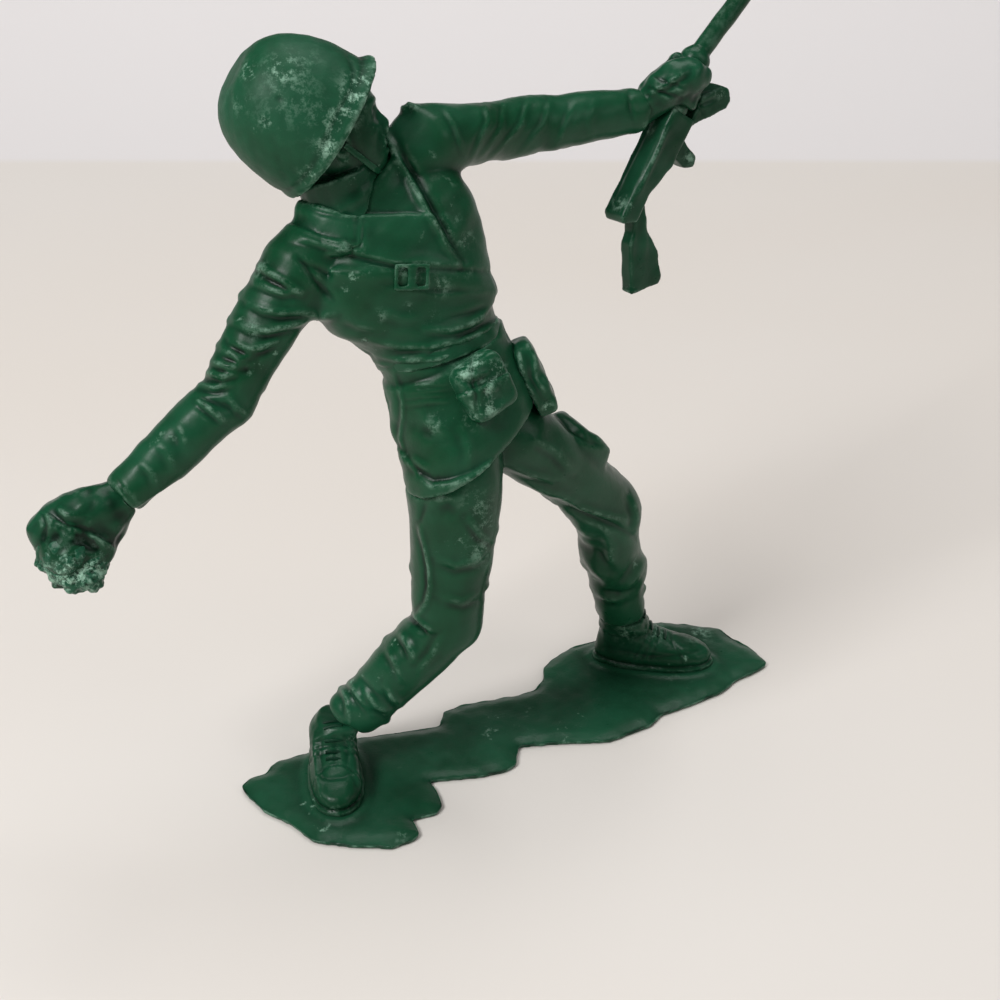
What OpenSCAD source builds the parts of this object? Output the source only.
// Toy soldier figure in a throwing stance, moulded on a thin ragged base.
// X runs to the figure's front knee side, Y away from its chest, Z up; the origin is midway between
// the boots on the underside of the base.

/* [Base] */
// Thickness of the plate under the boots
base_thickness = 1.7; // [1.2:0.1:2.6]
// How far the plate runs out past each ankle along the stance
base_end_length = 28; // [24:1:34]
// Half of the plate's width beside each boot
base_half_width = 29.2; // [25.2:0.1:33.2]

/* [Legs] */
// Hip joint to knee
thigh_length = 38.8; // [36:0.2:41]
// Knee to ankle
shin_length = 36; // [33:0.5:39]
// Knee to ankle of the bent right leg, which looks shorter
right_shin_length = 33.7; // [32.3:0.1:37.3]
// Distance between the two hip joints
hip_spacing = 14.9; // [13.4:0.1:16.4]
// Width of the right trouser leg at the hip
thigh_width = 19; // [17.5:0.1:20.5]
// Front to back size of the right trouser leg at the hip
thigh_depth = 19; // [17.5:0.1:20.5]
// Width of the stretched left trouser leg at the hip
left_thigh_width = 17; // [16:0.1:18.5]
// Front to back size of the stretched left trouser leg at the hip
left_thigh_depth = 14.8; // [13.8:0.1:16.8]
// Width over the knee
knee_width = 13.9; // [12.3:0.1:15.3]
// Front to back size over the knee
knee_depth = 13.3; // [11.8:0.1:14.8]
// Width of the trouser end where it is tucked into the boot
trouser_end_width = 9.3; // [7.9:0.1:10.3]
// Depth of the pocket bag on the left thigh
thigh_pocket_depth = 2.4; // [1.6:0.1:3.2]

/* [Boots] */
// Ankle joint above the ground side of the sole
ankle_height = 9; // [8:0.25:11]
// Heel to toe
boot_length = 25.4; // [22.4:0.1:28.4]
// Width over the ball of the foot
boot_width = 10.3; // [8.9:0.1:11.9]
// Width of the boot top
boot_top_width = 9.6; // [8.6:0.1:10.6]
// Thickness of the sole
sole_thickness = 1.3; // [0.8:0.1:2]

/* [Trunk] */
// Hip line to shoulder line
spine_length = 50; // [47:0.5:55]
// Distance between the two shoulder joints
shoulder_spacing = 32.5; // [30:0.5:35]
// Width of the jacket over the chest
chest_width = 36; // [32.5:0.1:38.5]
// Front to back size over the chest
chest_depth = 22.2; // [19.2:0.1:25.2]
// Width of the jacket at the belt
waist_width = 24.3; // [21.3:0.1:27.3]
// Front to back size at the belt
waist_depth = 20.1; // [17.6:0.1:22.6]
// Width of the jacket skirt at its hem
hem_width = 31.8; // [29.3:0.1:34.3]
// Front to back size of the skirt at its hem
hem_depth = 22.3; // [19.3:0.1:24.3]
// How far the hem swings out over the right hip
hem_swing_width = 2.9; // [1.9:0.05:3.9]
// Tilt of the hem, which hangs lower on the right
hem_tilt = 7.8; // [1.8:0.1:13.8]
// Tilt of the belt, which rides higher on the right
belt_tilt = 8.5; // [4:0.5:12]
// How far the middle of the back bows out over the left hip
trunk_bow_depth = 1.2; // [0.2:0.05:2.2]
// Height of the belt
belt_height = 3.6; // [2.6:0.2:4.6]
// How far the belt stands out from the cloth
belt_thickness = 0.5; // [0.3:0.1:0.9]

/* [Arms] */
// Shoulder joint to elbow
upper_arm_length = 27.1; // [24.6:0.1:29.6]
// Elbow to wrist
forearm_length = 25.4; // [23.4:0.1:27.4]
// Thickness of the sleeve over the shoulder
shoulder_thickness = 13.7; // [12.7:0.1:15.2]
// Thickness of the sleeve at the elbow
elbow_thickness = 10.4; // [9.2:0.1:11.8]
// Thickness of the sleeve at the cuff
cuff_thickness = 8.2; // [7.2:0.1:9.4]
// Width of the wrist
wrist_width = 7.2; // [6.2:0.2:8.2]
// Wrist to the middle of the fist
palm_length = 8; // [7:0.1:9.5]
// Width across the knuckles
palm_width = 9; // [8:0.25:10.5]
// Thickness of a finger
finger_thickness = 2.1; // [1.7:0.1:2.5]

/* [Head] */
// Chin to crown
head_height = 21; // [19:0.5:23]
// Width over the cheek bones
head_width = 13.6; // [12:0.2:15]
// Forehead to back of the skull
head_depth = 17; // [15:0.5:19]
// How far the nose stands out
nose_depth = 2; // [1.4:0.1:2.6]
// Thickness of the neck
neck_thickness = 14.8; // [12.8:0.1:15.8]
// Collar seam up to the chin
neck_length = 5.7; // [5.2:0.1:6.7]
// How far the raised left shoulder pushes the neck across
neck_shift_width = 3.3; // [2.3:0.05:4.8]
// How far the chin is carried ahead of the neck
chin_depth = 3; // [2.25:0.05:3.75]
// Height of the folded collar
collar_height = 4.6; // [3.6:0.2:5.6]
// Thickness of the collar cloth
collar_thickness = 1.2; // [0.8:0.1:1.6]

/* [Helmet] */
// Front to back over the shell, without the brim
helmet_length = 26.9; // [24.4:0.1:29.4]
// Side to side over the shell
helmet_width = 27.1; // [25.1:0.1:29.1]
// Rim to crown
helmet_height = 20.1; // [17.6:0.1:21.6]
// How far the brim stands out over the brow
brim_depth = 1.8; // [0.8:0.05:2.6]
// Thickness of the shell at the rim
helmet_wall = 1.6; // [1.2:0.1:2.4]

/* [Gun] */
// Middle of the grip hand to the muzzle
gun_front_length = 27; // [24:0.5:32]
// Middle of the grip hand back to the end of the receiver
receiver_rear_length = 27.2; // [24.2:0.1:29.2]
// Thickness of the receiver
receiver_thickness = 5.6; // [4.6:0.2:6.4]
// Height of the receiver
receiver_height = 6.2; // [5.2:0.1:7.2]
// Diameter of the barrel
barrel_diameter = 2.9; // [2.3:0.1:3.5]
// Diameter of the wooden forend under the hand
forend_diameter = 5; // [4.4:0.1:5.6]
// Front to back size of the magazine
magazine_width = 4.6; // [3.8:0.2:5.4]
// Length of the magazine below the receiver
magazine_length = 9.1; // [6.6:0.1:11.6]
// Front to back size of the pistol grip
gun_grip_width = 4.4; // [3.6:0.2:5.2]
// Receiver to butt plate
stock_length = 17.8; // [15.8:0.1:19.8]
// Height of the butt plate
butt_height = 7; // [5.8:0.1:8.2]
// Thickness of the stock
stock_thickness = 2.9; // [2.1:0.05:3.7]

/* [Grenade] */
// Diameter of the grenade body
grenade_diameter = 10.5; // [9.1:0.1:11.9]
// Length of the grenade body
grenade_length = 12.5; // [11:0.5:14]

/* [Gear] */
// Width of the ammunition pouch
pouch_width = 10; // [8:0.25:12]
// Height of the ammunition pouch
pouch_height = 11; // [9:0.25:13]
// Depth of the ammunition pouch
pouch_depth = 3.6; // [2.6:0.2:4.6]
// Width of the canteen behind the right hip
canteen_width = 11; // [9:0.25:13]
// Height of the canteen
canteen_height = 14; // [12:0.25:16]
// Depth of the canteen
canteen_depth = 3.1; // [2.1:0.05:4.1]
// Width of the bag on the left hip
bag_width = 8; // [6:0.25:10]
// Height of the bag on the left hip
bag_height = 15; // [13:0.25:17]
// Depth of the bag on the left hip
bag_depth = 2.3; // [1.8:0.05:3.3]
// Width of the chest strap
strap_width = 4.4; // [3.4:0.2:5.2]
// Width of the strap over the left shoulder
harness_width = 2.4; // [1.8:0.2:3]
// Thickness of the straps
strap_thickness = 0.6; // [0.5:0.1:1]

/* [Pose] */
// Heading in degrees from the left ankle up to the knee
left_shin_heading = -111; // [-116:1:-100]
// Pitch from the left ankle up to the knee
left_shin_pitch = 70; // [66:1:74]
// Heading from the left knee up to the hip
left_thigh_heading = -140; // [-149:1:-131]
// Pitch from the left knee up to the hip
left_thigh_pitch = 45; // [41:1:49]
// Heading from the left hip across to the right hip
hip_line_heading = -135; // [-141:0.5:-129]
// Pitch from the left hip across to the right hip
hip_line_pitch = 7; // [3:0.5:11]
// Pitch of the right thigh, hip to knee
right_thigh_pitch = -92; // [-96:0.5:-90]
// Heading from the right knee to the ankle, whose height sets the pitch
right_shin_heading = 176.5; // [169.5:0.5:183.5]
// Heading of the spine's backward lean
spine_heading = 176; // [169:0.5:183]
// Pitch of the spine
spine_pitch = 66; // [63:1:70]
// Heading from the right shoulder to the left shoulder
shoulder_line_heading = 34; // [29:1:39]
// Pitch from the right shoulder to the left shoulder
shoulder_line_pitch = 34; // [30:0.5:38]
// Heading of the right arm
right_arm_heading = -151; // [-158:1:-144]
// Pitch of the right upper arm
right_arm_pitch = -56; // [-62:0.5:-54]
// Pitch of the right forearm
right_forearm_pitch = -34; // [-40:1:-28]
// Heading of the left upper arm
left_arm_heading = 45.5; // [41.5:0.5:51.5]
// Pitch of the left upper arm
left_arm_pitch = -6; // [-10.5:0.5:-2.5]
// Heading of the left forearm
left_forearm_heading = 33; // [28:1:38]
// Pitch of the left forearm
left_forearm_pitch = -4; // [-7.5:0.5:0.5]
// Heading of the left boot
left_boot_heading = -7; // [-15:0.5:0]
// Heading of the right boot
right_boot_heading = -82.5; // [-91.5:0.5:-73.5]
// Heading of the face
face_heading = 14.5; // [4.5:0.5:24.5]
// Heading in which the head leans back
head_lean_heading = 170; // [160:0.5:180]
// Backward lean of the head
head_lean = 17.5; // [12.5:0.5:22.5]
// How far the helmet is pushed back on the head
helmet_tilt = 39; // [34:0.5:42]
// Heading of the muzzle
gun_heading = 42; // [37:0.5:47]
// Pitch of the muzzle
gun_pitch = 54.5; // [50.5:0.5:58.5]
// Bend of the soft barrel
barrel_bend = 14.5; // [8.5:0.5:18.5]
// Drop of the stock below the receiver
stock_drop = 39; // [33:0.5:43]
// Forward slant of the magazine
magazine_slant = 46.5; // [38.5:0.5:52.5]

/* [Hidden] */
plastic = [0.07, 0.27, 0.19];
plastic_light = [0.10, 0.33, 0.24];
plastic_dark = [0.05, 0.22, 0.16];
limb_sides = 18;
trunk_sides = 28;
finger_sides = 8;

// Vectors
function unit(v) = v / norm(v);
function toward(heading, pitch) = [cos(pitch) * cos(heading), cos(pitch) * sin(heading), sin(pitch)];
function mix(a, b, share) = a * (1 - share) + b * share;
function square_to(v, axis) = unit(v - axis * (v * axis));
function smooth(share) = share * share * (3 - 2 * share);

// One closed ring round a centre: normal is the way the skin runs, lead is the side called front.
// A round_share of 1 gives an ellipse and less gives squarer corners. Ripples are cloth folds.
function ring(centre, normal, lead, width, depth, sides = limb_sides, round_share = 1, front_share = 1,
    ripple = 0, phase = 0) =
  let (n = unit(normal), f = square_to(lead, n), a = cross(f, n))
  [for (i = [0:sides - 1])
    let (t = 360 * i / sides, c = cos(t), s = sin(t), swell = 1 + ripple * sin(2 * t + phase))
    centre + a * width / 2 * sign(c) * pow(abs(c), round_share) * swell
      + f * depth / 2 * sign(s) * pow(abs(s), round_share) * swell * (s > 0 ? front_share : 1)];

// Closed solid through a list of rings, with flat ends
module skin(rings) {
  count = len(rings[0]);
  last = (len(rings) - 1) * count;
  walls = [for (r = [0:len(rings) - 2], i = [0:count - 1])
    let (a = r * count + i, b = r * count + (i + 1) % count)
    each [[a, a + count, b + count], [a, b + count, b]]];
  ends = [[for (i = [0:count - 1]) i], [for (i = [count - 1:-1:0]) last + i]];
  polyhedron([for (r = rings) each r], concat(walls, ends));
}

// Rings along one limb. Every row of shares is: place along, width swell, depth swell, shift to the
// front, fold. The ends take their sizes as they are, so the next piece can start on the same ring.
function limb(from, to, start_normal, end_normal, lead, start_size, end_size, swell_shares) =
  let (run = unit(to - from))
  [for (row = swell_shares)
    let (along = row[0], size = mix(start_size, end_size, along), bend_share = 0.35,
      lead_in = max(0, 1 - along / bend_share), lead_out = max(0, 1 - (1 - along) / bend_share),
      normal = run * (1 - lead_in - lead_out) + start_normal * lead_in + end_normal * lead_out)
    ring(mix(from, to, along) + square_to(lead, unit(normal)) * size[1] * row[3], normal, lead,
      size[0] * row[1], size[1] * row[2], limb_sides, 0.92, 1, row[4], 400 * along)];

// Tube through a list of points, for fingers and cords of cloth
function tube(points, widths, lead, sides = finger_sides) =
  [for (i = [0:len(points) - 1])
    let (before = points[max(0, i - 1)], after = points[min(len(points) - 1, i + 1)])
    ring(points[i], after - before, lead, widths[i], widths[i], sides)];

// Places children drawn along X, Y and Z on three square directions at a point
module placed(x_way, y_way, z_way, at) {
  multmatrix([[x_way.x, y_way.x, z_way.x, at.x], [x_way.y, y_way.y, z_way.y, at.y],
    [x_way.z, y_way.z, z_way.z, at.z], [0, 0, 0, 1]]) children();
}

// Skeleton, worked up from the left ankle and down again to the right one
ground_to_ankle = base_thickness + ankle_height;
chain_left_ankle = [0, 0, ground_to_ankle];
chain_left_knee = chain_left_ankle + shin_length * toward(left_shin_heading, left_shin_pitch);
chain_left_hip = chain_left_knee + thigh_length * toward(left_thigh_heading, left_thigh_pitch);
chain_right_hip = chain_left_hip + hip_spacing * toward(hip_line_heading, hip_line_pitch);
chain_right_knee = chain_right_hip + thigh_length * toward(0, right_thigh_pitch);
right_shin_pitch = -asin(min(1, (chain_right_knee.z - ground_to_ankle) / right_shin_length));
chain_right_ankle = chain_right_knee + right_shin_length * toward(right_shin_heading, right_shin_pitch);
middle = [chain_right_ankle.x / 2, chain_right_ankle.y / 2, 0];
left_ankle = chain_left_ankle - middle;
left_knee = chain_left_knee - middle;
left_hip = chain_left_hip - middle;
right_hip = chain_right_hip - middle;
right_knee = chain_right_knee - middle;
right_ankle = chain_right_ankle - middle;
hips = (left_hip + right_hip) / 2;
spine_way = toward(spine_heading, spine_pitch);
shoulders = hips + spine_length * spine_way;
shoulder_way = toward(shoulder_line_heading, shoulder_line_pitch);
right_shoulder = shoulders - shoulder_way * shoulder_spacing / 2;
left_shoulder = shoulders + shoulder_way * shoulder_spacing / 2;
right_elbow = right_shoulder + upper_arm_length * toward(right_arm_heading, right_arm_pitch);
right_wrist = right_elbow + forearm_length * toward(right_arm_heading, right_forearm_pitch);
left_elbow = left_shoulder + upper_arm_length * toward(left_arm_heading, left_arm_pitch);
left_wrist = left_elbow + forearm_length * toward(left_forearm_heading, left_forearm_pitch);
stance_way = unit([left_ankle.x - right_ankle.x, left_ankle.y - right_ankle.y, 0]);
stance_side = [-stance_way.y, stance_way.x, 0];
sole_top = base_thickness + sole_thickness;

// Base: one outline in shares of the overhang along the stance and the reach across it. Rows are
// measured from the right ankle, then from the left ankle.
base_right_shares = [[0.89, -0.01], [0.60, 0.08], [0.32, 0.17], [-0.03, 0.21], [-0.12, 0.21],
  [-0.33, 0.23], [-0.40, 0.20], [-0.47, 0.14], [-0.60, 0.15], [-0.69, 0.10], [-0.70, 0.02],
  [-0.68, -0.23], [-0.59, -0.45], [-0.54, -0.70], [-0.36, -0.87], [-0.12, -1.03], [0.03, -1.04],
  [0.11, -1.01], [0.15, -0.84], [0.33, -0.87], [0.41, -0.82], [0.46, -0.67], [0.48, -0.53],
  [0.55, -0.56], [0.82, -0.67]];
base_left_shares = [[-1.56, -0.71], [-1.45, -0.69], [-1.35, -0.57], [-1.30, -0.51], [-1.02, -0.63],
  [-0.70, -0.80], [-0.33, -0.80], [-0.18, -0.73], [0.09, -0.74], [0.40, -0.73], [0.59, -0.66],
  [0.83, -0.64], [0.95, -0.61], [0.98, -0.38], [0.95, -0.21], [0.94, -0.01], [0.84, 0.08], [0.60, 0.30],
  [-0.00, 0.35], [-0.24, 0.36], [-0.45, 0.30], [-0.57, 0.24], [-0.66, 0.11], [-0.80, 0.02],
  [-0.95, 0.03], [-1.39, 0.14], [-1.55, 0.13]];
module base() {
  function outline(ankle, shares) = [for (s = shares)
    let (p = ankle + stance_way * base_end_length * s[0] + stance_side * base_half_width * s[1]) [p.x, p.y]];
  color(plastic_dark) linear_extrude(base_thickness)
    polygon(concat(outline(left_ankle, base_left_shares), outline(right_ankle, base_right_shares)));
}

// Boots: level outlines from the sole up to the ankle. Rows of shares are: height up to the ankle,
// heel end and toe end along the boot, width.
heel_share = 0.24;
boot_shares = [[0, -0.24, 0.76, 1.00], [0.16, -0.25, 0.77, 1.02], [0.34, -0.24, 0.74, 0.99],
  [0.46, -0.23, 0.66, 0.95], [0.58, -0.22, 0.50, 0.90], [0.72, -0.21, 0.36, 0.90],
  [0.88, -0.20, 0.26, 0.93]];
function egg(centre, way, length, width, height) = let (side = [-way.y, way.x, 0])
  [for (i = [0:limb_sides - 1]) let (t = 360 * i / limb_sides, taper = 1 + 0.12 * cos(t))
    [centre.x, centre.y, height] + way * length / 2 * sign(cos(t)) * pow(abs(cos(t)), 0.8)
      + side * width / 2 * sin(t) * taper];
function boot_rings(ankle, way, shin_way) = concat(
  [for (row = boot_shares)
    egg(ankle + way * boot_length * (row[1] + row[2]) / 2, way, boot_length * (row[2] - row[1]),
      boot_width * row[3], mix(sole_top, ankle.z, row[0]))],
  [[for (p = egg(ankle, way, boot_top_width, boot_top_width, ankle.z))
    p + shin_way * boot_top_width / 3 + (p - ankle) * 0.06]]);
module boot_sole(ankle, heading) {
  way = toward(heading, 0);
  middle_share = 0.5 - heel_share;
  color(plastic_dark) skin([for (height = [base_thickness, sole_top])
    egg(ankle + way * boot_length * middle_share, way, boot_length * 1.04, boot_width * 1.06, height)]);
}
module boot(ankle, heading, shin_way) {
  color(plastic) skin(boot_rings(ankle, toward(heading, 0), shin_way));
}
module boot_top(ankle, heading, shin_way) {
  rings = boot_rings(ankle, toward(heading, 0), shin_way);
  skin([for (i = [5:len(boot_shares)]) rings[i]]);
}
module boot_sole_right() { boot_sole(right_ankle, right_boot_heading); }
module boot_sole_left() { boot_sole(left_ankle, left_boot_heading); }
right_shin_way = unit(right_knee - right_ankle);
left_shin_way = unit(left_knee - left_ankle);
module boot_right() { boot(right_ankle, right_boot_heading, right_shin_way); }
module boot_left() { boot(left_ankle, left_boot_heading, left_shin_way); }

// Trouser legs: the knee ring is shared by thigh and lower leg, which folds bunch round
right_lead = square_to(right_knee - (right_hip + right_ankle) / 2, unit(right_hip - right_ankle));
left_lead = square_to(left_knee - (left_hip + left_ankle) / 2, unit(left_hip - left_ankle));
knee_size = [knee_width, knee_depth];
right_hip_size = [thigh_width, thigh_depth];
left_hip_size = [left_thigh_width, left_thigh_depth];
tuck_size = [trouser_end_width, trouser_end_width];
right_knee_normal = unit(unit(right_knee - right_hip) - right_shin_way);
left_knee_normal = unit(unit(left_knee - left_hip) - left_shin_way);
right_shin_shares = [[0, 1, 1, 0, 0], [0.12, 0.99, 0.96, 0.01, 0.02], [0.24, 1.02, 1.02, 0.03, 0.03],
  [0.38, 1.04, 1.03, 0.05, 0.02], [0.52, 1.02, 1.02, 0.07, 0.03], [0.64, 0.98, 0.99, 0.10, 0.03],
  [0.74, 1.02, 1.00, 0.14, 0.04], [0.84, 1.08, 1.10, 0.16, 0.03], [0.93, 1.08, 1.12, 0.12, 0.02],
  [1, 0.92, 0.92, 0, 0]];
left_shin_shares = [[0, 1, 1, 0, 0], [0.12, 0.99, 0.95, -0.05, 0.02], [0.24, 1.02, 1.03, -0.09, 0.03],
  [0.38, 1.04, 1.06, -0.09, 0.02], [0.50, 1.04, 1.12, -0.01, 0.03], [0.60, 1.00, 1.08, 0.02, 0.03],
  [0.70, 0.99, 0.98, -0.03, 0.04], [0.84, 1.04, 1.05, -0.01, 0.03], [0.93, 1.08, 1.05, 0, 0.02],
  [1, 0.92, 0.92, 0, 0]];
right_thigh_shares = [[0, 0.90, 0.92, 0, 0], [0.15, 1.00, 1.04, 0.04, 0.01], [0.3, 1.00, 1.03, 0.06, 0.02],
  [0.45, 0.98, 1.01, 0.06, 0.02], [0.6, 0.97, 0.99, 0.05, 0.02], [0.74, 0.96, 0.96, 0.03, 0.02],
  [0.86, 0.98, 1.00, 0.01, 0.02], [0.94, 1.01, 1.03, 0.01, 0.01], [1, 1, 1, 0, 0]];
left_thigh_shares = [[0, 1, 1, 0, 0], [0.15, 1.02, 1.00, 0.02, 0.01], [0.3, 1.01, 0.97, 0.05, 0.02],
  [0.45, 0.99, 0.94, 0.07, 0.02], [0.6, 0.98, 0.93, 0.07, 0.02], [0.74, 0.96, 0.94, 0.05, 0.02],
  [0.86, 0.98, 1.00, 0.03, 0.02], [0.94, 1.01, 1.03, 0.03, 0.01], [1, 1, 1, 0, 0]];
module lower_leg(knee, ankle, knee_normal, lead, swell_shares) {
  trouser_end = ankle + unit(knee - ankle) * boot_top_width / 3;
  color(plastic) skin(limb(knee, trouser_end, knee_normal, unit(ankle - knee), lead, knee_size, tuck_size,
    swell_shares));
}
function thigh_rings(hip, knee, knee_normal, lead, hip_size, swell_shares) = concat(
  [ring(mix(hip, hips, 0.5) + spine_way * spine_length * belt_low_share / 4,
    unit(knee - hip) - spine_way, lead, hip_size[0] * 0.74, hip_size[1] * 0.84, limb_sides, 0.92)],
  limb(hip, knee, unit(unit(knee - hip) * 2 - spine_way), knee_normal, lead, hip_size, knee_size,
    swell_shares));
function right_thigh_rings() =
  thigh_rings(right_hip, right_knee, right_knee_normal, right_lead, right_hip_size,
    right_thigh_shares);
function left_thigh_rings() =
  thigh_rings(left_hip, left_knee, left_knee_normal, left_lead, left_hip_size,
    left_thigh_shares);
module lower_leg_right() {
  difference() {
    lower_leg(right_knee, right_ankle, right_knee_normal, right_lead, right_shin_shares);
    boot_top(right_ankle, right_boot_heading, right_shin_way);
  }
}
module lower_leg_left() {
  difference() {
    lower_leg(left_knee, left_ankle, left_knee_normal, left_lead, left_shin_shares);
    boot_top(left_ankle, left_boot_heading, left_shin_way);
  }
}
module thigh_right() {
  color(plastic) difference() {
    skin(right_thigh_rings());
    skin(skirt_rings());
  }
}
module thigh_left() {
  color(plastic) difference() {
    skin(left_thigh_rings());
    skin(skirt_rings());
    skin([for (i = [0:4]) right_thigh_rings()[i]]);
  }
}

// Trunk: rings stand square to the spine and turn from the hip line to the shoulder line. Rows of
// shares are: place along the spine, width and depth of the size named, squareness.
hip_way = -toward(hip_line_heading, hip_line_pitch);
function trunk_middle(along, shift_share) = hips + spine_way * spine_length * along
  + hip_way * trunk_bow_depth * sin(180 * max(0, min(1, along)))
  - shoulder_way * neck_shift_width * shift_share;
function trunk_ring(along, width, depth, round_share, grow = 0, shift_share = 0, tilt = 0, swing = 0) =
  let (across = unit(mix(hip_way, shoulder_way, smooth(max(0, min(1, along))))),
    up = unit(spine_way - across * (spine_way * across) * smooth(max(0, min(1, along)))),
    front = cross(across, up))
  ring(trunk_middle(along, shift_share) - across * swing, up - across * sin(tilt), front,
    width + 2 * grow, depth + 2 * grow, trunk_sides, round_share);
hem_share = -0.02;
belt_low_share = 0.375;
belt_high_share = belt_low_share + belt_height / spine_length;
skirt_shares = [[0, 1], [0.3, 1.01], [0.6, 0.99], [0.85, 1.02], [1, 1]];
function skirt_rings() = [for (row = skirt_shares)
  trunk_ring(mix(hem_share, belt_low_share, row[0]), mix(hem_width, waist_width, row[0]) * row[1],
    mix(hem_depth, waist_depth, row[0]) * row[1], 0.9, 0, 0, mix(hem_tilt, -belt_tilt, row[0]),
    hem_swing_width * pow(1 - row[0], 2))];
body_shares = [[0, 0, 1, 1, 0.9, 0], [0.1, 0.12, 1.04, 1.05, 0.9, 0], [0.22, 0.4, 1.00, 1.00, 0.88, 0],
  [0.4, 0.8, 1.00, 0.99, 0.85, 0], [0.6, 1, 1.01, 1.01, 0.82, 0], [0.76, 1, 1.01, 0.98, 0.80, 0.1],
  [0.88, 1, 0.93, 0.86, 0.82, 0.2], [0.95, 1, 0.81, 0.74, 0.9, 0.4], [1, 1, 0.66, 0.68, 1, 0.2],
  [1.13, 1, 0.42, 0.56, 1, -1.1]];
body_top_share = 1;
belt_fade_share = 0.35;
function body_rings(grow = 0) = [for (row = body_shares)
  trunk_ring(mix(belt_high_share, body_top_share, row[0]), mix(waist_width, chest_width, row[1]) * row[2],
    mix(waist_depth, chest_depth, row[1]) * row[3], row[4], grow, row[5],
    -belt_tilt * max(0, 1 - row[0] / belt_fade_share))];
// Any point on the jacket: place along the spine, angle round from the wearer's right by way of the
// chest, and height off the cloth
function column(table, key, value) = [for (row = table) [row[key], row[value]]];
function trunk_size(along) = along < belt_high_share
  ? let (share = (along - hem_share) / (belt_low_share - hem_share), swell = lookup(share, skirt_shares))
    [mix(hem_width, waist_width, min(1, share)) * swell, mix(hem_depth, waist_depth, min(1, share)) * swell]
  : let (share = (along - belt_high_share) / (body_top_share - belt_high_share),
      chest = lookup(share, column(body_shares, 0, 1)))
    [mix(waist_width, chest_width, chest) * lookup(share, column(body_shares, 0, 2)),
      mix(waist_depth, chest_depth, chest) * lookup(share, column(body_shares, 0, 3))];
function trunk_point(along, angle, lift = 0) =
  let (turn = smooth(max(0, min(1, along))), across = unit(mix(hip_way, shoulder_way, turn)),
    up = unit(spine_way - across * (spine_way * across) * turn), right = cross(cross(across, up), up),
    size = trunk_size(along), c = cos(angle), s = sin(angle), corner_share = 0.85,
    shift_share = along < belt_high_share ? 0
      : lookup((along - belt_high_share) / (body_top_share - belt_high_share), column(body_shares, 0, 5)))
  trunk_middle(along, shift_share)
    + unit(right) * (size[0] / 2 + lift) * sign(c) * pow(abs(c), corner_share)
    + unit(cross(across, up)) * (size[1] / 2 + lift) * sign(s) * pow(abs(s), corner_share);
module jacket_skirt() { color(plastic) skin(skirt_rings()); }
module belt() {
  color(plastic_light) skin([for (share = [belt_low_share, belt_high_share])
    trunk_ring(share, waist_width, waist_depth, 0.9, belt_thickness, 0, -belt_tilt)]);
}
module jacket_body() { color(plastic) skin(body_rings()); }
// Top of the jacket alone, which trims what stands on the shoulders
module shoulder_block() { skin([for (i = [3:len(body_shares) - 1]) body_rings()[i]]); }

// Sleeves: the first rings lie inside the jacket, which is cut away from them
shoulder_size = [shoulder_thickness, shoulder_thickness];
elbow_size = [elbow_thickness, elbow_thickness];
cuff_size = [cuff_thickness, cuff_thickness];
right_sleeve_shares = [[0, 1, 1, 0, 0], [0.12, 1.01, 1.05, -0.02, 0.02], [0.26, 0.95, 1.00, 0.02, 0.04],
  [0.4, 0.93, 0.94, 0.06, 0.05], [0.55, 0.92, 0.94, 0.06, 0.05], [0.7, 0.92, 0.95, 0.06, 0.05],
  [0.85, 0.97, 1.00, 0.06, 0.06], [1, 1, 1, 0, 0]];
left_sleeve_shares = [[0, 1, 1, 0, 0], [0.12, 0.98, 0.99, 0, 0.02], [0.26, 0.93, 0.92, 0, 0.04],
  [0.4, 0.91, 0.88, -0.01, 0.05], [0.55, 0.90, 0.86, -0.02, 0.05], [0.7, 0.92, 0.90, -0.04, 0.05],
  [0.85, 0.97, 0.94, -0.04, 0.06], [1, 1, 1, 0, 0]];
right_forearm_shares = [[0, 1, 1, 0, 0], [0.12, 1.04, 1.04, 0.05, 0.05], [0.24, 1.01, 1.01, 0.05, 0.04],
  [0.36, 1.05, 1.04, 0.04, 0.03], [0.5, 1.02, 1.02, 0.02, 0.03], [0.64, 1.02, 1.0, 0.01, 0.02],
  [0.78, 0.98, 0.99, 0, 0.01], [0.88, 0.98, 0.98, 0, 0], [0.9, 1.06, 1.06, 0, 0], [1, 1, 1, 0, 0]];
left_forearm_shares = [for (row = right_forearm_shares) [row[0], row[1], row[2], -row[3] * 0.8, row[4]]];
sleeve_lead = toward(0, 90);
function sleeve_rings(shoulder, elbow, wrist, inward, swell_shares) =
  let (run = unit(elbow - shoulder), elbow_normal = unit(run + unit(wrist - elbow)),
    root = shoulder + inward * shoulder_thickness / 2)
  concat([ring(root, -inward, sleeve_lead, shoulder_thickness * 0.9, shoulder_thickness * 0.9,
      limb_sides, 0.92)],
    limb(shoulder, elbow, unit(run * 0.8 - inward), elbow_normal, sleeve_lead, shoulder_size, elbow_size,
      swell_shares));
function right_sleeve_rings() =
  sleeve_rings(right_shoulder, right_elbow, right_wrist, shoulder_way, right_sleeve_shares);
function left_sleeve_rings() =
  sleeve_rings(left_shoulder, left_elbow, left_wrist, -shoulder_way, left_sleeve_shares);
module upper_sleeve(rings) {
  color(plastic) difference() {
    skin(rings);
    shoulder_block();
  }
}
module lower_sleeve(shoulder, elbow, wrist, swell_shares) {
  run = unit(wrist - elbow);
  elbow_normal = unit(run + unit(elbow - shoulder));
  color(plastic) skin(limb(elbow, wrist, elbow_normal, run, sleeve_lead, elbow_size, cuff_size,
    swell_shares));
}
module upper_sleeve_right() { upper_sleeve(right_sleeve_rings()); }
module lower_sleeve_right() { lower_sleeve(right_shoulder, right_elbow, right_wrist, right_forearm_shares); }
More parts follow.
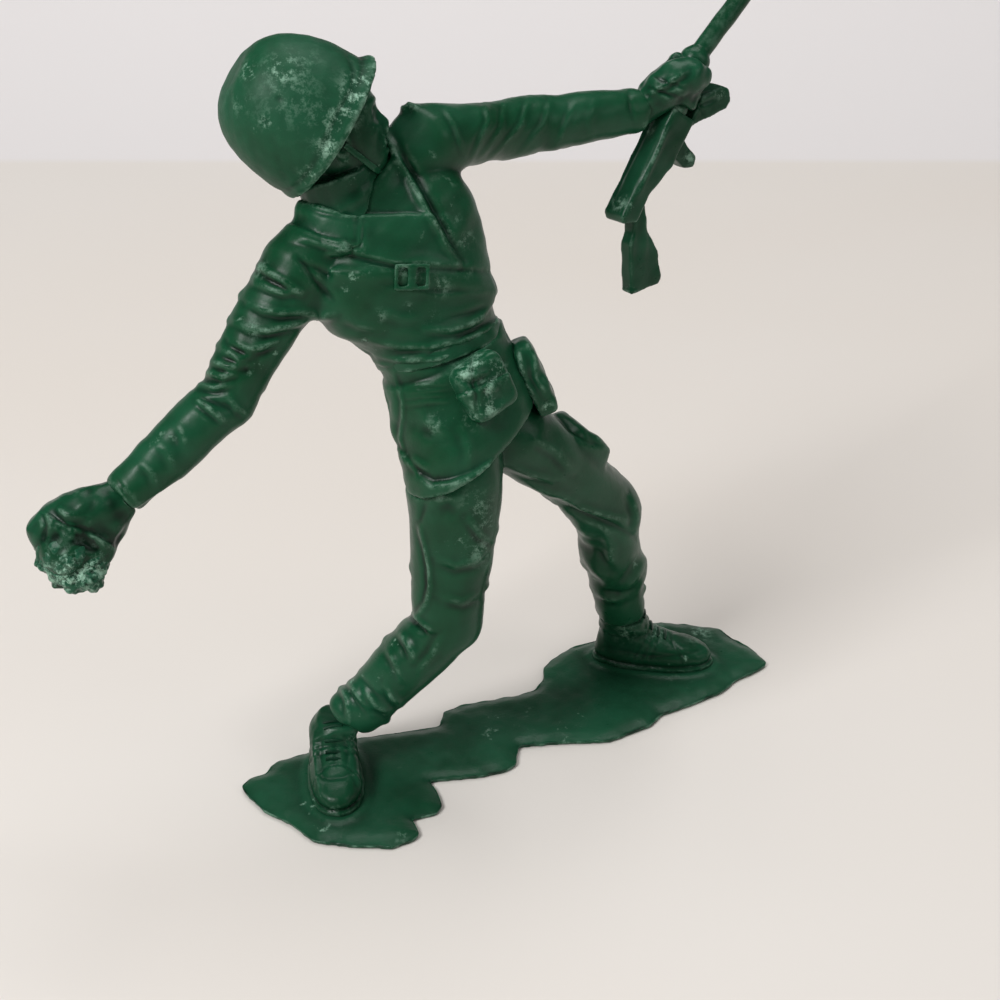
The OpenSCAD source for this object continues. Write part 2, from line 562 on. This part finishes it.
module upper_sleeve_left() { upper_sleeve(left_sleeve_rings()); }
module lower_sleeve_left() { lower_sleeve(left_shoulder, left_elbow, left_wrist, left_forearm_shares); }

// Neck and head: level rings up the head's own axis, with the face to the front
head_up = toward(head_lean_heading, 90 - head_lean);
face_way = square_to(toward(face_heading, 0), head_up);
neck_base = shoulders - shoulder_way * neck_shift_width;
chin_point = neck_base + head_up * neck_length + face_way * chin_depth;
// Rows are: height, width, front and back reach as shares of the head's sizes, nose, nose width
head_shares = [[0, 0.46, 0.52, 0.10, 0, 1], [0.05, 0.66, 0.72, 0.30, 0, 1], [0.12, 0.76, 0.84, 0.55, 0, 1],
  [0.20, 0.86, 0.84, 0.80, 0, 1], [0.27, 0.92, 0.87, 0.90, 0.05, 1], [0.33, 0.96, 0.86, 0.94, 0.80, 1],
  [0.38, 0.98, 0.86, 0.97, 1, 0.9], [0.46, 1, 0.84, 1, 0.55, 0.7], [0.52, 1, 0.88, 1, 0.15, 0.7],
  [0.60, 1.00, 0.92, 1.02, 0, 1], [0.75, 0.94, 0.84, 0.96, 0, 1], [0.88, 0.76, 0.62, 0.78, 0, 1],
  [1.00, 0.3, 0.25, 0.3, 0, 1]];
head_sides = 28;
function head_ring(row) =
  let (across = cross(head_up, face_way), centre = chin_point + head_up * head_height * row[0])
  [for (i = [0:head_sides - 1])
    let (t = 360 * i / head_sides, c = cos(t), s = sin(t),
      reach = (s > 0 ? row[2] : row[3]) * head_depth / 2,
      nose = s > 0 ? nose_depth * row[4] * exp(-pow(c / (0.16 * row[5]), 2)) : 0)
    centre - across * head_width / 2 * row[1] * sign(c) * pow(abs(c), 0.9)
      + face_way * (reach * sign(s) * pow(abs(s), 0.9) + nose)];
module head() {
  color(plastic_light) difference() {
    skin([for (row = head_shares) head_ring(row)]);
    helmet_cutter();
    skin(neck_rings());
    shoulder_block();
  }
}
neck_top_share = 0.42;
function neck_rings() = [for (along = [0, 0.3, 0.65, 1])
  ring(neck_base + head_up * head_height * neck_top_share * along, mix(spine_way, head_up, along), face_way,
    neck_thickness * (1 - 0.06 * sin(180 * along)), neck_thickness, limb_sides)];
module neck() {
  color(plastic_light) difference() {
    skin(neck_rings());
    shoulder_block();
  }
}

// Helmet: a shell whose rings run from the roof of its hollow down inside to the rim and back up outside
helmet_up = unit(head_up * cos(helmet_tilt) - face_way * sin(helmet_tilt));
helmet_front = unit(face_way * cos(helmet_tilt) + head_up * sin(helmet_tilt));
rim_back_share = 0.08;
rim_middle = chin_point + head_up * head_height * 0.46 - face_way * head_depth * rim_back_share;
helmet_hollow_share = 0.3;
dome_power_share = 2.65;
helmet_sides = 32;
function helmet_ring(level, wall, flare) =
  let (swell = pow(1 - pow(level, dome_power_share), 1 / dome_power_share),
    across = cross(helmet_front, helmet_up))
  [for (i = [0:helmet_sides - 1])
    let (t = 360 * i / helmet_sides, c = cos(t), s = sin(t), brim = flare * max(0, s) * max(0, s))
    rim_middle + helmet_up * (helmet_height * level + brim * 0.02)
      + across * (helmet_width / 2 * swell - wall) * c
      + helmet_front * ((helmet_length / 2 * swell - wall) * s + brim)];
function helmet_rings() = concat(
  [for (level = [helmet_hollow_share, 0]) helmet_ring(level, helmet_wall, 0)],
  [for (level = [0, 0.04, 0.1, 0.2, 0.32, 0.45, 0.58, 0.7, 0.8, 0.88, 0.94, 0.98])
    helmet_ring(level, 0, brim_depth * max(0, 1 - level * 9))]);
module helmet() { color(plastic) skin(helmet_rings()); }
// Plainer solid with the same hollow, which trims the head and the chin strap
module helmet_cutter() {
  skin(concat([for (level = [helmet_hollow_share, 0]) helmet_ring(level, helmet_wall, 0)],
    [for (level = [0, 0.58, 0.98]) helmet_ring(level, -helmet_wall, 0)]));
}

// Chin strap: one band from temple to temple under the chin
module chin_strap() {
  across = cross(head_up, face_way);
  reach = head_width / 2 + strap_thickness * 1.4;
  route = [for (t = [-80:20:80]) rim_middle + helmet_up * helmet_wall / 2
    + across * reach * sign(sin(t)) * pow(abs(sin(t)), 0.8)
    - (head_up * head_height * 0.5 - face_way * head_depth * 0.38) * cos(t)];
  color(plastic_light) difference() {
    skin([for (i = [0:len(route) - 1])
      let (next = route[min(i + 1, len(route) - 1)], last = route[max(i - 1, 0)], run = unit(next - last),
        out = square_to(route[i] - mix(rim_middle, chin_point, 0.5), run), side = cross(run, out),
        half = strap_thickness * 1.1, deep = strap_thickness)
      [route[i] - side * half - out * deep, route[i] - side * half + out * deep / 2,
        route[i] + side * half + out * deep / 2, route[i] + side * half - out * deep]]);
    skin([for (i = [0:9]) head_ring(head_shares[i])]);
    helmet_cutter();
    shoulder_block();
  }
}

// Collar: a folded band round the neck, open under the chin
cloth_gap_depth = 0.3;
collar_sides = 18;
function collar_rings() =
  let (front = square_to(cross(shoulder_way, spine_way), head_up), across = cross(front, head_up),
    inner = neck_thickness / 2 + cloth_gap_depth, flare = collar_height * 0.5)
  [for (i = [0:collar_sides])
    let (t = 150 + 268 * i / collar_sides, out = across * cos(t) + front * sin(t),
      fold = neck_base + head_up * collar_height * (0.9 - 0.7 * max(0, sin(t))))
    [fold + out * inner - head_up * collar_height * 1.3, fold + out * inner,
      fold + out * (inner + collar_thickness),
      fold + out * (inner + collar_thickness + flare) - head_up * collar_height,
      fold + out * (inner + flare) - head_up * collar_height * 1.1]];
module collar() {
  color(plastic_light) difference() {
    skin(collar_rings());
    shoulder_block();
    skin([for (i = [0:3]) right_sleeve_rings()[i]]);
  }
}

// Straps: flat bands laid along a route of places and angles on the jacket
function strap_rings(route, width) = [for (i = [0:len(route) - 1])
  let (at = trunk_point(route[i][0], route[i][1]),
    next = route[min(i + 1, len(route) - 1)], last = route[max(i - 1, 0)],
    run = unit(trunk_point(next[0], next[1]) - trunk_point(last[0], last[1])),
    out = square_to(trunk_point(route[i][0], route[i][1], strap_width) - at, run), side = cross(run, out))
  [at - side * width / 2 - out * strap_thickness, at - side * width / 2 + out * strap_thickness,
    at + side * width / 2 + out * strap_thickness, at + side * width / 2 - out * strap_thickness]];
chest_route_shares = [[0.93, 0.11], [0.86, 0.17], [0.77, 0.23], [0.69, 0.27], [0.62, 0.31], [0.57, 0.35],
  [0.54, 0.39], [0.52, 0.44], [0.52, 0.5], [0.54, 0.56], [0.58, 0.62], [0.64, 0.68], [0.71, 0.74],
  [0.79, 0.80], [0.87, 0.86], [0.93, 0.90]];
chest_route = [for (row = chest_route_shares) [row[0], 360 * row[1]]];
harness_route_shares = [[0.97, 0.40], [0.93, 0.36], [0.87, 0.325], [0.79, 0.315], [0.71, 0.315],
  [0.655, 0.315]];
harness_route = [for (row = harness_route_shares) [row[0], 360 * row[1]]];
module strap_cutters() {
  skin([for (i = [1:len(body_shares) - 1]) body_rings()[i]]);
  skin([for (i = [0:3]) right_sleeve_rings()[i]]);
  skin([for (i = [0:3]) left_sleeve_rings()[i]]);
}
module chest_strap() {
  color(plastic_light) difference() {
    skin(strap_rings(chest_route, strap_width));
    strap_cutters();
  }
}
buckle_share = 0.06;
module strap_buckle() {
  at = mix(chest_route[2], chest_route[3], buckle_share);
  seat = trunk_point(at[0], at[1], strap_thickness);
  out = unit(trunk_point(at[0], at[1], strap_width) - seat);
  ahead = trunk_point(chest_route[3][0], chest_route[3][1]);
  behind = trunk_point(chest_route[2][0], chest_route[2][1]);
  run = square_to(ahead - behind, out);
  long = strap_width * 1.5;
  wide = strap_width * 1.1;
  color(plastic_light) placed(run, cross(out, run), out, seat + out * cloth_gap_depth) difference() {
    translate([-long / 2, -wide / 2, 0]) cube([long, wide, strap_thickness]);
    for (side = [-1, 1])
      translate([side * long / 4 - long / 8, -wide / 3, -strap_thickness / 2])
        cube([long / 4, wide * 2 / 3, strap_thickness * 2]);
  }
}
module harness_strap_left() {
  color(plastic_light) difference() {
    skin(strap_rings(harness_route, harness_width));
    shoulder_block();
    skin([for (i = [0:3]) left_sleeve_rings()[i]]);
    skin(strap_rings([for (i = [2:5]) chest_route[i]], strap_width));
    skin(collar_rings());
  }
}

// Gear on the belt: soft boxes set into the cloth, which is cut away from them
module soft_box(along, angle, width, height, depth, tip_share) {
  seat = trunk_point(along, angle);
  out = unit(trunk_point(along, angle, depth) - seat);
  up = square_to(spine_way, out);
  sink = depth * 0.8;
  rows = [[-sink, 1, 1], [depth * 0.55, 1, 1], [depth * 0.85, 0.95, 0.96], [depth, tip_share, tip_share]];
  skin([for (row = rows)
    ring(seat + out * row[0], out, up, width * row[1], height * row[2], limb_sides, 0.33)]);
}
module cut_by_skirt() {
  difference() {
    children();
    skin(skirt_rings());
    belt();
  }
}
pouch_place_share = 0.26;
pouch_angle_share = 0.226;
canteen_place_share = 0.15;
canteen_angle_share = 0.76;
bag_place_share = 0.12;
bag_angle_share = 0.385;
module ammo_pouch() {
  color(plastic_light) cut_by_skirt()
    soft_box(pouch_place_share, 360 * pouch_angle_share, pouch_width, pouch_height, pouch_depth, 0.8);
}
module canteen() {
  color(plastic_light) cut_by_skirt()
    soft_box(canteen_place_share, 360 * canteen_angle_share, canteen_width, canteen_height, canteen_depth,
      0.6);
}
module hip_bag() {
  color(plastic_light) difference() {
    cut_by_skirt()
      soft_box(bag_place_share, 360 * bag_angle_share, bag_width, bag_height, bag_depth, 0.7);
    skin([for (i = [0:4]) left_thigh_rings()[i]]);
  }
}
module thigh_pocket_left() {
  out = square_to([0, 0, 1] + left_lead / 2, unit(left_knee - left_hip));
  seat = mix(left_hip, left_knee, 0.45);
  run = unit(left_knee - left_hip);
  color(plastic_light) difference() {
    skin([for (row = [[0.2, 1], [0.46, 1], [0.5 + thigh_pocket_depth / left_thigh_depth, 0.82]])
      ring(seat + out * left_thigh_depth * row[0], out, run, left_thigh_width * 0.66 * row[1],
        thigh_length * 0.36 * row[1], limb_sides, 0.5)]);
    skin([for (i = [2:8]) left_thigh_rings()[i]]);
  }
}

// Hands: a palm from the cuff and four fingers and a thumb bent round what is held
function finger_route(centre, axis, palm_way, radius, place, from, to) =
  let (side = cross(axis, palm_way))
  [for (i = [0:4]) let (t = from + (to - from) * i / 4)
    centre + axis * place + (palm_way * cos(t) + side * sin(t)) * (radius + finger_thickness / 2)];
finger_taper_shares = [1.05, 1.05, 1, 0.92, 0.7];
thumb_taper_shares = [1.5, 1.3, 1.1, 1, 0.7];
module fist(wrist, arm_way, centre, axis, radius, turn) {
  palm_way = square_to(wrist - centre, axis);
  side = cross(axis, palm_way) * turn;
  knuckle = centre + (palm_way * 0.75 + side * 0.66) * (radius + finger_thickness / 2);
  palm = knuckle - wrist;
  skin([ring(wrist, arm_way, axis, wrist_width * 0.85, wrist_width, limb_sides),
    ring(mix(wrist, knuckle, 0.3), palm, axis, wrist_width * 0.85, wrist_width * 1.02, limb_sides),
    ring(mix(wrist, knuckle, 0.65), palm, axis, wrist_width * 0.9, palm_width * 0.9, limb_sides, 0.85),
    ring(knuckle, mix(palm, side * palm_length, 0.4), axis, finger_thickness * 1.6, palm_width,
      limb_sides, 0.8)]);
  for (k = [0:3]) {
    place = (k - 1.5) * palm_width / 4;
    route = finger_route(centre, axis * turn, palm_way, radius, place, 25, 165 - 8 * k);
    skin(tube(route, finger_thickness * finger_taper_shares, axis));
  }
  thumb = finger_route(centre, axis * turn, palm_way, radius, palm_width * 0.36, 12, -115);
  skin(tube(thumb, finger_thickness * thumb_taper_shares, axis));
}
right_forearm_way = unit(right_wrist - right_elbow);
left_forearm_way = unit(left_wrist - left_elbow);
grenade_way = toward(right_arm_heading - 10, right_forearm_pitch - 3);
grenade_middle = right_wrist + grenade_way * (palm_length + grenade_diameter / 2 + cloth_gap_depth);
grenade_axis = square_to(toward(right_arm_heading - 90, 20), unit(grenade_middle - right_wrist));
module grenade_turned() {
  place_x = square_to([0, 0, 1], grenade_axis);
  placed(place_x, cross(grenade_axis, place_x), grenade_axis, grenade_middle) children();
}
groove_depth = 0.45;
grenade_rows = 5;
module grenade() {
  half = grenade_length / 2;
  step = grenade_length / grenade_rows;
  color(plastic_dark) grenade_turned() rotate_extrude($fn = 48) polygon(concat([[0, -half]],
    [for (k = [0:grenade_rows - 1], part_share = [0.08, 0.2, 0.8, 0.92])
      let (z = -half + step * (k + part_share), edge = sqrt(max(0, 1 - pow(z / (half * 1.12), 2))),
        deep = part_share == 0.08 || part_share == 0.92 ? groove_depth : 0)
      [grenade_diameter / 2 * edge - deep, z]], [[0, half]]));
}
module hand_right() {
  color(plastic_light) difference() {
    fist(right_wrist, right_forearm_way, grenade_middle, grenade_axis, grenade_diameter / 2, 1);
    grenade_turned() rotate_extrude($fn = 48) intersection() {
      scale([grenade_diameter / 2 + groove_depth / 9, grenade_length / 2 * 1.14]) circle(r = 1);
      translate([0, -grenade_length]) square([grenade_length, grenade_length * 2]);
    }
  }
}

// Gun: drawn with the muzzle along Z, its underside along X, and held in the left fist
gun_grip_point = left_wrist
  + toward(left_forearm_heading - 9, left_forearm_pitch + 21) * (palm_length + forend_diameter / 4);
gun_way = toward(gun_heading, gun_pitch);
gun_under = square_to(toward(gun_heading - 7, gun_pitch - 90), gun_way);
gun_side = cross(gun_way, gun_under);
module on_gun() { placed(gun_under, gun_side, gun_way, gun_grip_point) children(); }
module slab(outline, thickness) {
  translate([0, thickness / 2, 0]) rotate([90, 0, 0]) linear_extrude(thickness) polygon(outline);
}
forend_length = palm_width * 1.25;
receiver_top_share = 0.3;
hand_lead = palm_width * 0.19;
module gun_receiver() {
  rear = -receiver_rear_length;
  front = hand_lead - forend_length / 2;
  top = -receiver_height * receiver_top_share;
  low = receiver_height + top;
  color(plastic_dark) on_gun() {
    slab([[top, rear], [top * 0.4, rear - receiver_height * 0.18], [low * 0.5, rear * 0.98],
      [low * 0.5, rear * 0.76], [low, rear * 0.5], [low, front], [top, front]], receiver_thickness);
  }
}
module gun_barrel() {
  front = forend_length / 2 + hand_lead;
  color(plastic_dark) on_gun() {
    translate([0, 0, front - forend_length]) cylinder(d = forend_diameter, h = forend_length, $fn = 40);
    translate([0, 0, front])
      cylinder(d1 = forend_diameter, d2 = barrel_diameter, h = barrel_diameter / 2, $fn = 40);
    translate([0, 0, front]) rotate([0, barrel_bend, 0]) {
      cylinder(d = barrel_diameter, h = gun_front_length - front, $fn = 32);
      translate([0, 0, gun_front_length - front - barrel_diameter])
        cylinder(d = barrel_diameter * 1.25, h = barrel_diameter * 0.8, $fn = 32);
    }
  }
}
module gun_stock() {
  start = [receiver_height * 0.3, -receiver_rear_length * 0.86];
  color(plastic_dark) difference() {
    on_gun() translate([start[0], 0, start[1]]) rotate([0, -stock_drop, 0]) stock_slab();
    gun_receiver();
  }
}
module stock_slab() {
  neck = butt_height * 0.42;
  end = -stock_length;
  slab([[-neck / 2, receiver_height * 0.3], [neck / 2, receiver_height * 0.3], [neck * 0.55, end * 0.3],
    [butt_height * 0.6, end * 0.62], [butt_height * 0.66, end * 0.94], [butt_height * 0.56, end],
    [-butt_height * 0.44, end], [-butt_height * 0.38, end * 0.42], [-neck / 2, end * 0.3]], stock_thickness);
}
module gun_magazine() {
  at = hand_lead - forend_length / 2 + receiver_height * 0.3;
  low = receiver_height * (1 - receiver_top_share);
  half = magazine_width / 2;
  root = half * tan(magazine_slant);
  color(plastic_dark) on_gun() translate([low, 0, at]) rotate([0, -magazine_slant, 0])
    slab([[-root, -half], [magazine_length * 0.85, -half], [magazine_length, -half / 2],
      [magazine_length, half / 2], [magazine_length * 0.85, half], [root, half]], receiver_thickness * 0.75);
}
module gun_grip() {
  at = -receiver_rear_length * 0.34;
  low = receiver_height * (1 - receiver_top_share);
  half = gun_grip_width / 2;
  color(plastic_dark) on_gun() translate([low, 0, at])
    slab([[0, -half], [half * 2, -half * 1.4], [half * 2.8, -half * 0.9], [half * 2.6, 0],
      [half * 1.2, half * 0.3], [0, half * 0.8]], receiver_thickness * 0.6);
}
module hand_left() {
  color(plastic_light) difference() {
    fist(left_wrist, left_forearm_way, gun_grip_point + gun_way * hand_lead, gun_way,
      forend_diameter / 2, 1);
    gun_barrel();
    gun_receiver();
    gun_magazine();
  }
}

base();
boot_sole_right();
boot_sole_left();
boot_right();
boot_left();
lower_leg_right();
lower_leg_left();
thigh_right();
thigh_left();
thigh_pocket_left();
jacket_skirt();
belt();
jacket_body();
chest_strap();
strap_buckle();
harness_strap_left();
collar();
neck();
head();
helmet();
chin_strap();
upper_sleeve_right();
lower_sleeve_right();
hand_right();
grenade();
upper_sleeve_left();
lower_sleeve_left();
hand_left();
gun_receiver();
gun_barrel();
gun_stock();
gun_magazine();
gun_grip();
ammo_pouch();
canteen();
hip_bag();
